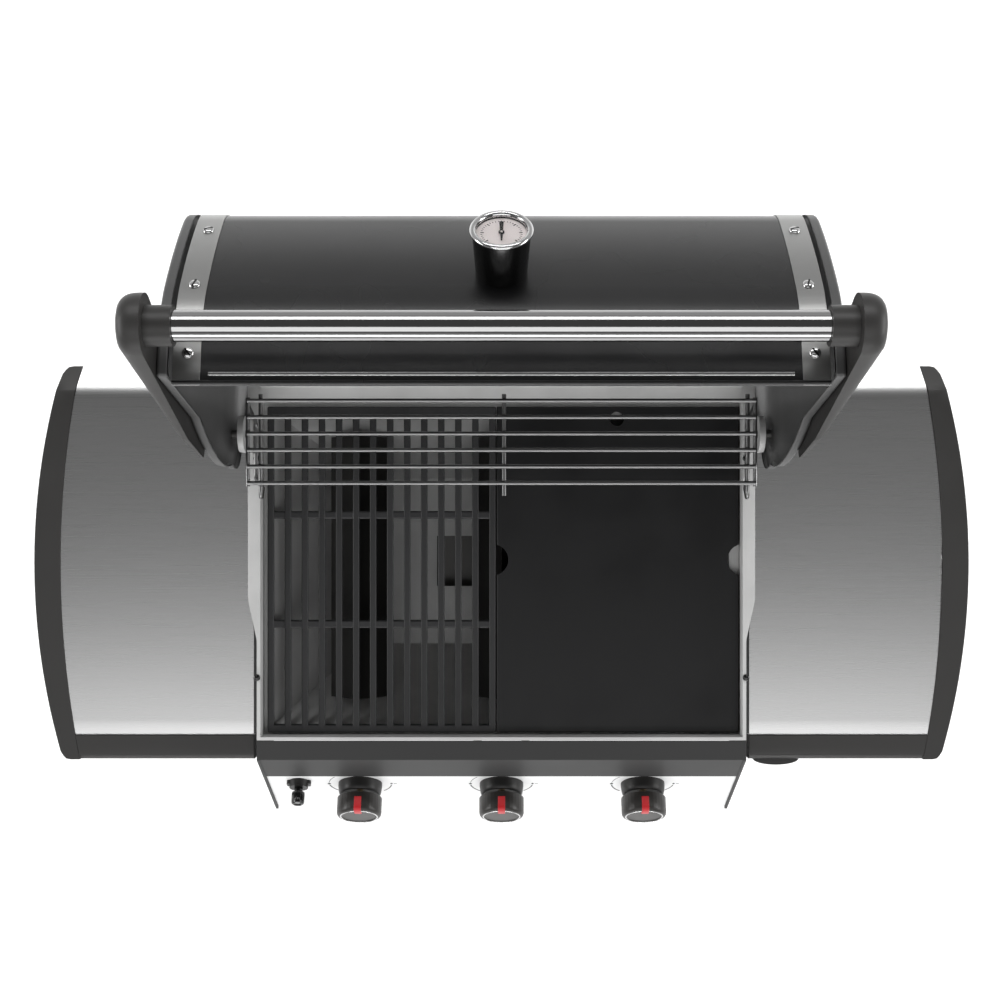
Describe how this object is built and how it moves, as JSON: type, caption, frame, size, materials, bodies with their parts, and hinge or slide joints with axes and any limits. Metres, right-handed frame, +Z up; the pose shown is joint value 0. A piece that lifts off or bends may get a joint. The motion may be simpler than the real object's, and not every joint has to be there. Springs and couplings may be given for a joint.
{
  "type": "gas barbecue grill",
  "caption": "Gas barbecue grill on a cabinet cart with an open hinged hood, cast grate, griddle plate, warming rack, control knobs and stainless side tables.",
  "frame": {"origin": "on the floor, under the middle of the whole grill's bounding box with the hood open", "axes": "+Z up, -Y towards the control panel, +X to the right of a person standing at the control panel"},
  "size_m": [1.185, 0.726, 1.4209],
  "materials": {
    "cast_aluminium": "satin grey paint on cast aluminium",
    "black_enamel": "satin black enamel",
    "steel_brushed": "brushed along its length",
    "stainless_dark": "heat-darkened stainless",
    "chrome": "polished",
    "cast_iron": "matt enamelled",
    "grey_plastic": "fine grain",
    "dark_plastic": "fine grain",
    "black_gloss": "glossy",
    "panel_paint": "satin light grey",
    "ledge_paint": "satin dark grey",
    "cabinet_paint": "satin black",
    "dial_face": "matt print on metal",
    "brass": "plain",
    "tyre": "matt"
  },
  "bodies": {
    "cart": {"firebox": "cast_aluminium", "hinge_pins": "stainless_dark", "burner_left": "stainless_dark", "burner_middle": "stainless_dark", "burner_right": "stainless_dark", "flame_tamers": "stainless_dark", "gas_manifold": "steel_brushed", "gas_valves": "brass", "front_ledge": "ledge_paint", "control_panel": "panel_paint", "panel_sides": "ledge_paint", "knob_bezels": "dark_plastic", "igniter_body": "dark_plastic", "table_top_left": "steel_brushed", "table_top_right": "steel_brushed", "table_end_cap_left": "grey_plastic", "table_end_cap_right": "grey_plastic", "table_front_trim_left": "grey_plastic", "table_front_trim_right": "grey_plastic", "table_arms": "cabinet_paint", "bottle_opener": "dark_plastic", "cabinet_side_left": "cabinet_paint", "cabinet_side_right": "cabinet_paint", "back_panel": "cabinet_paint", "base_shelf": "cabinet_paint", "front_rail": "cabinet_paint", "axle": "stainless_dark", "feet": "dark_plastic", "tray_rails": "cabinet_paint"},
    "hood": {"hood_shell": "black_enamel", "hood_trim_left": "steel_brushed", "hood_trim_right": "steel_brushed", "hood_bead": "chrome", "hood_end_cap_left": "grey_plastic", "hood_end_cap_right": "grey_plastic", "hood_screws": "chrome", "handle_arm_left": "grey_plastic", "handle_arm_right": "grey_plastic", "handle_sockets": "grey_plastic", "handle_bar": "chrome", "thermometer_housing": "black_gloss", "thermometer_bezel": "chrome", "thermometer_dial": "dial_face"},
    "thermometer_needle": {"thermometer_needle": "black_gloss"},
    "igniter_button": {"igniter_button": "dark_plastic"},
    "warming_rack": {"warming_rack": "chrome"},
    "cooking_grate": {"cooking_grate": "cast_iron"},
    "griddle_plate": {"griddle_plate": "cast_iron"},
    "drip_tray": {"drip_tray": "stainless_dark", "grease_cup": "stainless_dark"},
    "door_left": {"door_left": "cabinet_paint"},
    "door_right": {"door_right": "cabinet_paint"},
    "wheel_front": {"wheel_front": "tyre"},
    "wheel_rear": {"wheel_rear": "tyre"},
    "valve_stem_left": {"valve_stem_left": "brass"},
    "knob_left": {"knob_left": "dark_plastic"},
    "valve_stem_middle": {"valve_stem_middle": "brass"},
    "knob_middle": {"knob_middle": "dark_plastic"},
    "valve_stem_right": {"valve_stem_right": "brass"},
    "knob_right": {"knob_right": "dark_plastic"}
  },
  "joints": [
    {"name": "hood_hinge", "type": "hinge", "parent": "cart", "child": "hood", "pos_m": [0, 0.13883, 0.959], "axis": [1, 0, 0], "range_deg": [0, 102.8]},
    {"name": "needle_turn", "type": "hinge", "parent": "hood", "child": "thermometer_needle", "pos_m": [0, 0.32, 1.33035], "axis": [0, 0.7046, 0.7096], "range_deg": [-240, 0], "stiffness_Nm_per_rad": 0.0005},
    {"name": "igniter_press", "type": "slide", "parent": "cart", "child": "igniter_button", "axis": [0, 0.8746, -0.4848], "range_m": [0, 0.005], "stiffness_N_per_m": 1200, "springref_m": -0.002},
    {"name": "warming_rack_lift", "type": "slide", "parent": "cart", "child": "warming_rack", "axis": [0, 0, -1], "range_m": [-0.12, 0]},
    {"name": "cooking_grate_lift", "type": "slide", "parent": "cart", "child": "cooking_grate", "axis": [0, 0, -1], "range_m": [-0.034, 0]},
    {"name": "griddle_plate_lift", "type": "slide", "parent": "cart", "child": "griddle_plate", "axis": [0, 0, -1], "range_m": [-0.034, 0]},
    {"name": "drip_tray_slide", "type": "slide", "parent": "cart", "child": "drip_tray", "axis": [0, 1, 0], "range_m": [0, 0.28]},
    {"name": "door_left_hinge", "type": "hinge", "parent": "cart", "child": "door_left", "pos_m": [-0.295, -0.24217, 0.4], "axis": [0, 0, -1], "range_deg": [0, 110]},
    {"name": "door_right_hinge", "type": "hinge", "parent": "cart", "child": "door_right", "pos_m": [0.295, -0.24217, 0.4], "axis": [0, 0, 1], "range_deg": [0, 110]},
    {"name": "wheel_front_spin", "type": "hinge", "parent": "cart", "child": "wheel_front", "pos_m": [0.258, -0.18117, 0.044], "axis": [0, 1, 0], "continuous": true},
    {"name": "wheel_rear_spin", "type": "hinge", "parent": "cart", "child": "wheel_rear", "pos_m": [0.258, 0.11883, 0.044], "axis": [0, 1, 0], "continuous": true},
    {"name": "knob_left_push", "type": "slide", "parent": "cart", "child": "valve_stem_left", "axis": [0, 0.8746, -0.4848], "range_m": [0, 0.004], "stiffness_N_per_m": 900, "springref_m": -0.003},
    {"name": "knob_left_turn", "type": "hinge", "parent": "valve_stem_left", "child": "knob_left", "pos_m": [-0.184, -0.3372, 0.82961], "axis": [0, -0.8746, 0.4848], "range_deg": [0, 180]},
    {"name": "knob_middle_push", "type": "slide", "parent": "cart", "child": "valve_stem_middle", "axis": [0, 0.8746, -0.4848], "range_m": [0, 0.004], "stiffness_N_per_m": 900, "springref_m": -0.003},
    {"name": "knob_middle_turn", "type": "hinge", "parent": "valve_stem_middle", "child": "knob_middle", "pos_m": [0, -0.3372, 0.82961], "axis": [0, -0.8746, 0.4848], "range_deg": [0, 180]},
    {"name": "knob_right_push", "type": "slide", "parent": "cart", "child": "valve_stem_right", "axis": [0, 0.8746, -0.4848], "range_m": [0, 0.004], "stiffness_N_per_m": 900, "springref_m": -0.003},
    {"name": "knob_right_turn", "type": "hinge", "parent": "valve_stem_right", "child": "knob_right", "pos_m": [0.184, -0.3372, 0.82961], "axis": [0, -0.8746, 0.4848], "range_deg": [0, 180]}
  ]
}
